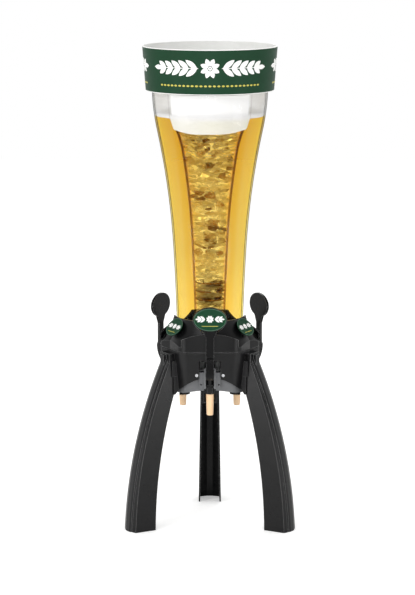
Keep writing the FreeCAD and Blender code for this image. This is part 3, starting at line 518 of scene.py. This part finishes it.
MATERIALS = {
    "base_housing": plastic("black_moulding", (14, 14, 15), (19, 19, 20), (0.34, 0.44),
                            specular=0.26, edge_mm=0.9, edge_highlight_tone=96, crowned=True),
    "base_cover": plastic("gloss_black", (6, 6, 7), (10, 10, 11), (0.28, 0.4), depth_mm=0.004,
                          coat=0.04, specular=0.2, edge_mm=1.5, edge_highlight_tone=120, crowned=True),
    "chassis": plastic("grey_moulding", (96, 97, 99), (106, 107, 109), (0.4, 0.54),
                       specular=0.3, edge_mm=0.5, edge_highlight_tone=130),
    "valve_manifold": plastic("dark_moulding", (30, 30, 31), (36, 36, 37), (0.35, 0.5)),
    "leg": plastic("leg_black", (11, 11, 12), (16, 16, 17), (0.26, 0.36),
                   specular=0.26, edge_mm=1.6, edge_highlight_tone=120),
    "lever": plastic("lever_black", (6, 6, 7), (9, 9, 10), (0.2, 0.3), depth_mm=0.006,
                     coat=0.03, specular=0.12, edge_mm=1.0, edge_highlight_tone=130),
    "tap": plastic("tap_black", (10, 10, 11), (14, 14, 15), (0.18, 0.3),
                   specular=0.25, edge_mm=0.4),
    "white": plastic("white_plastic", (243, 243, 241), (236, 236, 233), (0.3, 0.42)),
    "green_print": plastic("green_print", (24, 59, 38), (27, 63, 42), (0.4, 0.5),
                           depth_mm=0.006, specular=0.12),
    "green_badge": plastic("green_badge", (20, 58, 37), (24, 64, 42), (0.24, 0.34),
                           depth_mm=0.005, specular=0.08),
    "spout": plastic("peach_spout", (243, 208, 168), (236, 196, 152), (0.25, 0.38)),
    "steel": plastic("bright_steel", (196, 196, 199), (178, 179, 182), (0.2, 0.36),
                     metallic=1.0, stretch=(1, 1, 6)),
    "rubber": plastic("seal_rubber", (28, 28, 29), (36, 36, 37), (0.6, 0.8), depth_mm=0.02),
    "vinyl": plastic("hose_vinyl", (222, 224, 222), (206, 209, 207), (0.24, 0.36)),
    "print_white": plastic("print_white", (252, 252, 250), (244, 244, 241), (0.36, 0.46),
                           depth_mm=0.006),
    "print_gold": plastic("print_gold", (206, 196, 84), (192, 180, 66), (0.34, 0.44),
                          depth_mm=0.006),
    "print_rim": plastic("print_rim", (78, 106, 88), (66, 94, 77), (0.3, 0.4),
                         depth_mm=0.006, specular=0.2),
    "tank": clear("clear_tank", (160, 160, 156), (255, 253, 211), (156, 124, 70), (0.72, 0.93)),
    "tube": clear("clear_tube", (176, 170, 164), (255, 250, 236), (172, 134, 96), (0.6, 0.85)),
}
# nodes to materials; a key that ends in _ stands for every node whose name starts with it
FINISHES = {
    "base_housing": "base_housing", "base_cover": "base_cover", "chassis": "chassis",
    "valve_manifold": "valve_manifold", "tank": "tank", "ice_core": "tube", "lid": "white",
    "neck_seal": "rubber", "crown_ring": "white", "crown_sleeve": "green_print",
    "bay_screws": "steel", "leg_screws": "steel", "leg_": "leg", "lobe_badge_": "green_badge",
    "paddle_badge_": "green_badge", "tap_lever_": "lever", "lever_pin_": "steel",
    "tap_body_": "tap", "tap_nut_": "tap", "tap_cap_": "tap", "tap_spout_": "spout",
    "plunger_seal_": "rubber", "plunger_spring_": "steel", "plunger_": "white",
    "feed_hose_": "vinyl",
}


def finish_nodes():
    """Gives each CAD node its material, by the longest key that fits its name."""
    for name, node in nodes.items():
        keys = [key for key in FINISHES
                if name == key or (key.endswith("_") and name.startswith(key))]
        chosen = MATERIALS[FINISHES[max(keys, key=len)]]
        for place in node.material_slots:
            place.material = chosen
        if not node.material_slots:
            node.data.materials.append(chosen)


# ---------------------------------------------------------------- contents
def add_beer():
    """The lager: fills the tank below and around the ice tube."""
    top = BEER_LEVEL - 1.0
    floor = TANK_SEAT + TANK_FLOOR + SKIN_GAP
    foot = TUBE_FOOT - SKIN_GAP
    outside = [(inside_tank(z), z) for z in levels(floor, top, BEER_STEP)]
    inside = [(around_tube(max(z, TUBE_FOOT)), z) for z in levels(foot, top, BEER_STEP)]
    bm = bmesh.new()
    lathe(bm, [(0, floor)] + outside + inside[::-1] + [(0, foot)], BEER_SEGMENTS)
    piece("beer", bm, "tank", drink(), smooth=40)


def add_foam():
    """Foam over the drink: it hangs lower at the front and back, and its edge ripples."""
    heights = levels(BEER_LEVEL, FOAM_TOP, FOAM_LEVEL_STEP)
    outside = [(inside_tank(z), z) for z in heights]
    inside = [(around_tube(z), z) for z in heights]
    foot_radius = outside[0][0]

    def wobble(r, z, angle):
        ripple = noise.noise(Vector((math.cos(angle) * 2.5, math.sin(angle) * 2.5, z / 9)))
        if z > BEER_LEVEL + 1:
            outer = r > foot_radius - 2 and z < FOAM_TOP - 1
            return r - (0.5 + 0.5 * ripple if outer else 0.0), z
        z += 1.2 * ripple
        if r > foot_radius - 1:
            front = abs(math.sin(angle))
            belly = FOAM_BELLY * ease(front, 0.7, 1.0)
            z -= ease(front, *FOAM_STEP) * (FOAM_DIP - FOAM_BELLY + belly)
            r = inside_tank(z) - FOAM_EDGE_GAP
        return r, z

    bm = bmesh.new()
    lathe(bm, outside + inside[::-1], FOAM_SEGMENTS, wobble)
    piece("foam_head", bm, "tank", froth(), smooth=40)


def ice_lump(rng, spot, size):
    """Corners of one broken, flattish lump about a point."""
    turn = Matrix.Rotation(rng.uniform(0, 2 * math.pi), 3, "Z")
    tilt = Matrix.Rotation(math.radians(rng.gauss(0, 12)), 3, "X")
    corners = []
    for i in range(LUMP_CORNERS):
        angle = 2 * math.pi * (i + rng.uniform(-0.4, 0.4)) / LUMP_CORNERS
        rise = rng.uniform(-1, 1)
        reach = math.sqrt(1 - 0.7 * rise * rise) * rng.uniform(0.8, 1.1)
        corner = Vector((reach * math.cos(angle) * size.x, reach * math.sin(angle) * size.y,
                         rise * size.z))
        corners.append(spot + turn @ (tilt @ corner))
    return corners


def add_lump(bm, tone_layer, tone, corners, floor):
    """Adds the hull of some corners, flattened where it would pass the tube's wall."""
    lump = bmesh.new()
    for corner in corners:
        corner.z = max(corner.z, floor)
        limit = radius_at(TUBE, corner.z) - TUBE_WALL - ICE_WALL_GAP
        reach = math.hypot(corner.x, corner.y)
        if reach > limit:
            corner.x *= limit / reach
            corner.y *= limit / reach
        lump.verts.new(corner)
    bmesh.ops.convex_hull(lump, input=lump.verts)
    table = {}
    for vert in lump.verts:
        if vert.link_faces:
            made = bm.verts.new(vert.co)
            made[tone_layer] = tone
            table[vert.index] = made
    for face in lump.faces:
        bm.faces.new([table[v.index] for v in face.verts])
    lump.free()


def add_shelf(bm, tone_layer, tone, height):
    """Adds a thin plate of ice across the tube."""
    reach = radius_at(TUBE, height) - TUBE_WALL - SHELF_WALL_GAP
    first = len(bm.verts)
    lathe(bm, [(0, height - 0.8), (reach - 1.2, height - 1.2), (reach, height),
               (reach - 1.2, height + 1.4), (0, height + 0.8)], SHELF_SEGMENTS)
    bm.verts.ensure_lookup_table()
    for vert in bm.verts[first:]:
        vert[tone_layer] = tone


def add_ice():
    """Lumps heaped in the ice tube, layer on layer, with thin shelves near its foot."""
    rng = random.Random(ICE_SEED)
    floor = TUBE_FOOT + TUBE_WALL + ICE_FLOOR_GAP
    bm = bmesh.new()
    tone_layer = bm.verts.layers.float.new("tone")
    height = floor + ICE_STEP / 2
    while height < ICE_TOP:
        wall = radius_at(TUBE, height) - TUBE_WALL
        for inset in ICE_RINGS:
            radius = wall - inset
            if radius < 2:
                continue
            count = max(3, round(2 * math.pi * radius / ICE_SPACING))
            start = rng.uniform(0, 2 * math.pi)
            for i in range(count):
                angle = start + 2 * math.pi * (i + rng.uniform(-0.2, 0.2)) / count
                r = radius + rng.uniform(-3, 3)
                spot = Vector((r * math.cos(angle), r * math.sin(angle),
                               height + rng.uniform(-3.5, 3.5)))
                size = Vector((rng.uniform(*LUMP_REACH), rng.uniform(*LUMP_REACH),
                               rng.uniform(*LUMP_THICKNESS)))
                drift = 0.4 * noise.noise(spot / 38)
                tone = min(1.0, max(0.0, rng.gauss(0.5 + drift, 0.24)))
                add_lump(bm, tone_layer, tone, ice_lump(rng, spot, size), floor)
        height += ICE_STEP
    for i in range(SHELVES):
        add_shelf(bm, tone_layer, SHELF_TONES[i % 2], floor + SHELF_START + SHELF_STEP * i)
    piece("crushed_ice", bm, "ice_core", crushed())


def add_springs():
    """Coiled return springs of the plungers, built in place of the CAD ones; on the real tap they
    shorten under the caps as the plungers rise.
    """
    for name, _ in TAPS:
        node = "plunger_spring_" + name
        low, high = box_mm(node)
        middle = (low + high) / 2
        wire = SPRING_WIRE / 2
        coil = (high.x - low.x) / 2 - wire
        steps = SPRING_TURNS * SPRING_STATIONS
        climb = (high.z - low.z - 2 * wire) / steps
        bm = bmesh.new()
        rings = []
        for i in range(steps + 1):
            angle = 2 * math.pi * i / SPRING_STATIONS
            out = Vector((math.cos(angle), math.sin(angle), 0))
            centre = Vector((middle.x, middle.y, low.z + wire + climb * i)) + out * coil
            ring = []
            for k in range(WIRE_SIDES):
                lean = 2 * math.pi * k / WIRE_SIDES
                off = out * math.cos(lean) + Vector((0, 0, math.sin(lean)))
                ring.append(bm.verts.new(centre + off * wire))
            rings.append(ring)
        for near, far in zip(rings, rings[1:]):
            for k in range(WIRE_SIDES):
                j = (k + 1) % WIRE_SIDES
                bm.faces.new([near[k], near[j], far[j], far[k]])
        bm.faces.new(rings[0])
        bm.faces.new(rings[-1])
        spring = piece("return_spring_" + name, bm, "base", MATERIALS["steel"],
                       smooth=50)
        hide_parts(node)
        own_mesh(spring)


# ---------------------------------------------------------------- prints
def ribbon(bm, spine, place, closed=False):
    """A thin closed strip along (u, v, half width) stations, laid on a surface by place."""
    rows = []
    count = len(spine)
    for i, (u, v, half) in enumerate(spine):
        before = spine[(i - 1) % count] if closed or i > 0 else spine[i]
        after = spine[(i + 1) % count] if closed or i < count - 1 else spine[i]
        along = Vector((after[0] - before[0], after[1] - before[1])).normalized()
        across = Vector((-along.y, along.x)) * half
        row = []
        for lift in (PRINT_HIGH, PRINT_LOW):
            for side in (-1, 0, 1):
                row.append(bm.verts.new(place(u + side * across.x, v + side * across.y, lift)))
        rows.append(row)
    pairs = list(zip(rows, rows[1:]))
    if closed:
        pairs.append((rows[-1], rows[0]))
    ring = (0, 1, 2, 5, 4, 3)
    for near, far in pairs:
        for a, b in zip(ring, ring[1:] + ring[:1]):
            bm.faces.new([near[a], near[b], far[b], far[a]])
    if not closed:
        for row in (rows[0], rows[-1]):
            bm.faces.new([row[0], row[1], row[4], row[3]])
            bm.faces.new([row[1], row[2], row[5], row[4]])


def leaf(bm, place, root, angle, length, width):
    """A pointed grain from its root, at an angle in degrees."""
    way = Vector((math.cos(math.radians(angle)), math.sin(math.radians(angle))))
    steps = 9
    spine = []
    for i in range(steps + 1):
        t = i / steps
        half = width / 2 * math.sin(math.pi * min(1.0, t * 0.94 + 0.06)) ** 0.75
        spine.append((root[0] + way.x * length * t, root[1] + way.y * length * t,
                      max(half, 0.02 * width)))
    ribbon(bm, spine, place)


def loop(bm, place, centre, half_u, half_v, half_width, steps=72):
    """A closed line around an ellipse."""
    spine = []
    for i in range(steps):
        turn = 2 * math.pi * i / steps
        spine.append((centre[0] + half_u * math.cos(turn), centre[1] + half_v * math.sin(turn),
                      half_width))
    ribbon(bm, spine, place, closed=True)


def garland(bm, place, centre, scale, pairs):
    """Two barley ears of so many pairs of grains, end to end either side of a rosette."""
    u0, v0 = centre
    petals = 8
    petal_root = 4.5 * scale
    stem_root = 22.0
    first_grain = 25.0
    grain_pitch = 16.0
    grain_lean = 36.0
    for i in range(petals):
        angle = 45.0 * i + 22.5
        turn = math.radians(angle)
        root = (u0 + petal_root * math.cos(turn), v0 + petal_root * math.sin(turn))
        leaf(bm, place, root, angle, 14.0 * scale, 8.6 * scale)
    loop(bm, place, centre, 2.4 * scale, 2.4 * scale, 1.2 * scale, 16)
    for side in (-1, 1):
        reach = 24.0 + grain_pitch * pairs
        stem = [(u0 + side * scale * (stem_root + (reach - stem_root) * i / 20), v0, 0.7 * scale)
                for i in range(21)]
        ribbon(bm, stem, place)
        for i in range(pairs):
            root = (u0 + side * scale * (first_grain + grain_pitch * i), v0)
            length = (25.0 - 1.6 * i) * scale
            for lean in (-grain_lean, grain_lean):
                angle = lean if side > 0 else 180.0 - lean
                leaf(bm, place, root, angle, length, 9.6 * scale)
        leaf(bm, place, (u0 + side * scale * (reach - 6.0), v0), 0.0 if side > 0 else 180.0,
             20.0 * scale, 8.6 * scale)


def around(point, turn):
    return Matrix.Rotation(math.radians(turn), 3, "Z") @ point


def on_crown(turn):
    """Maps arc length and height over the sleeve's foot onto the sleeve, for one side."""
    low, high = box_mm("crown_sleeve")
    top_radius = (high.x - low.x) / 2

    def place(u, v, lift):
        radius = top_radius - SLEEVE_LEAN * (high.z - low.z - v) + lift
        angle = math.radians(FRONT + turn) + u / top_radius
        return Vector((radius * math.cos(angle), radius * math.sin(angle), low.z + v))
    return place


def on_paddle(turn):
    """Maps across and up the upright plate of a lever."""
    low, high = box_mm("paddle_badge_front")
    middle = (low + high) / 2

    def place(u, v, lift):
        return around(Vector((u, low.y - lift, middle.z + v)), turn)
    return place


def on_lobe(turn):
    """Maps onto the sloping plate over one leg; u reads along the plate, v up its slope."""
    low, high = box_mm("lobe_badge_rear")
    slope = math.radians(LOBE_SLOPE)
    out = Vector((0, math.sin(slope), math.cos(slope)))
    rise = Vector((0, -math.cos(slope), math.sin(slope)))
    face = (low + high) / 2 + out * PLATE_HALF_THICKNESS

    def place(u, v, lift):
        return around(face + Vector((-u, 0, 0)) + rise * v + out * lift, turn)
    return place


def add_crown_print():
    """A garland and a broken gold line on each side of the crown."""
    white = bmesh.new()
    gold = bmesh.new()
    for _, turn in TAPS:
        place = on_crown(turn)
        garland(white, place, (0.0, 47.0), 1.0, 5)
        for i in range(-12, 13):
            leaf(gold, place, (i * 8.4 - 3.0, 15.0), 0.0, 6.0, 3.4)
    piece("crown_print_white", white, "tank", MATERIALS["print_white"])
    piece("crown_print_gold", gold, "tank", MATERIALS["print_gold"])


def badge_print(place, half_u, half_v, marks):
    """A small garland, a gold line and a rim line on one plate."""
    white, gold, rim = marks
    garland(white, place, (0.0, 1.2), half_u / 78.0, 2)
    line = [(half_u * 0.5 * (i / 10 - 1), -0.56 * half_v, 0.4) for i in range(21)]
    ribbon(gold, line, place)
    loop(rim, place, (0.0, 0.0), half_u - 0.8, half_v - 0.8, 0.5)


def add_badge_prints():
    looks = ("print_white", "print_gold", "print_rim")
    low, high = box_mm("paddle_badge_front")
    for name, turn in TAPS:
        marks = [bmesh.new() for _ in looks]
        badge_print(on_paddle(turn), (high.x - low.x) / 2, (high.z - low.z) / 2, marks)
        for look, mark in zip(looks, marks):
            piece("paddle_" + look + "_" + name, mark, "lever_" + name,
                  MATERIALS[look])
    low, high = box_mm("lobe_badge_rear")
    marks = [bmesh.new() for _ in looks]
    for turn in LEG_TURNS:
        badge_print(on_lobe(turn), (high.x - low.x) / 2, LOBE_HALF_HEIGHT, marks)
    for look, mark in zip(looks, marks):
        piece("lobe_" + look, mark, "base", MATERIALS[look])


# ---------------------------------------------------------------- stage
def add_floor():
    """A pale floor that reads as white to the eye and keeps the tower's shadow."""
    bm = bmesh.new()
    for x, y in ((-1, -1), (1, -1), (1, 1), (-1, 1)):
        bm.verts.new((x * FLOOR_REACH, y * FLOOR_REACH, 0))
    bm.faces.new(bm.verts)
    mesh = bpy.data.meshes.new("floor")
    bm.to_mesh(mesh)
    bm.free()
    g = Graph("pale_floor")
    mottle = g.noise(160.0, 4.0, 0.6)
    tone = g.blend(g.span(mottle, 0.0, 1.0), linear((248, 248, 247)), linear((244, 244, 243)))
    diffuse = g.node("ShaderNodeBsdfDiffuse", {"Color": tone})
    seen = g.node("ShaderNodeLightPath").outputs["Is Camera Ray"]
    lift = g.node("ShaderNodeEmission",
                  {"Color": WHITE, "Strength": g.span(seen, 0.0, FLOOR_GLOW, 0.0, 1.0)})
    lit = g.node("ShaderNodeAddShader", {0: diffuse.outputs[0], 1: lift.outputs[0]})
    mesh.materials.append(g.finish(lit))
    floor = bpy.data.objects.new("floor", mesh)
    bpy.context.scene.collection.objects.link(floor)


def add_world():
    """White to the eye; in reflections white at the horizon and dim overhead."""
    world = bpy.data.worlds.new("studio")
    bpy.context.scene.world = world
    world.use_nodes = True
    g = Nodes(world.node_tree)
    path = g.node("ShaderNodeLightPath")
    up = g.height_of(g.node("ShaderNodeTexCoord").outputs["Generated"])
    ceiling = g.span(up, 1.0, 0.3, 0.1, 0.75)
    seen = g.math("MAXIMUM", path.outputs["Is Camera Ray"], path.outputs["Is Transmission Ray"])
    plain = g.node("ShaderNodeMix",
                   {"Factor": path.outputs["Is Glossy Ray"], 2: SURROUNDINGS, 3: ceiling},
                   data_type="FLOAT").outputs[0]
    level = g.node("ShaderNodeMix", {"Factor": seen, 2: plain, 3: 1.0},
                   data_type="FLOAT").outputs[0]
    back = g.node("ShaderNodeBackground", {"Color": WHITE, "Strength": level})
    g.node("ShaderNodeOutputWorld", {"Surface": back.outputs[0]})


def add_lamp(name, place, aim, size, watts):
    data = bpy.data.lights.new(name, "AREA")
    data.shape = "RECTANGLE"
    data.size, data.size_y = size
    data.energy = watts
    lamp = bpy.data.objects.new(name, data)
    lamp.location = place
    lamp.rotation_euler = (Vector(aim) - Vector(place)).to_track_quat("-Z", "Y").to_euler()
    lamp.visible_camera = False
    bpy.context.scene.collection.objects.link(lamp)


def add_camera():
    data = bpy.data.cameras.new("camera")
    data.sensor_width = SENSOR_MM
    data.lens = LENS_MM
    data.clip_end = 50.0
    camera = bpy.data.objects.new("camera", data)
    camera.location = CAMERA_PLACE
    camera.rotation_euler = (math.pi / 2 - CAMERA_TILT, 0, 0)
    bpy.context.scene.collection.objects.link(camera)
    bpy.context.scene.camera = camera


finish_nodes()
add_beer()
add_foam()
add_ice()
add_springs()
add_crown_print()
add_badge_prints()
add_floor()
add_world()
for lamp_row in LAMPS:
    add_lamp(*lamp_row)
add_camera()
bpy.context.scene.view_settings.view_transform = "Standard"
bpy.context.scene.cycles.transparent_max_bounces = CLEAR_LAYERS
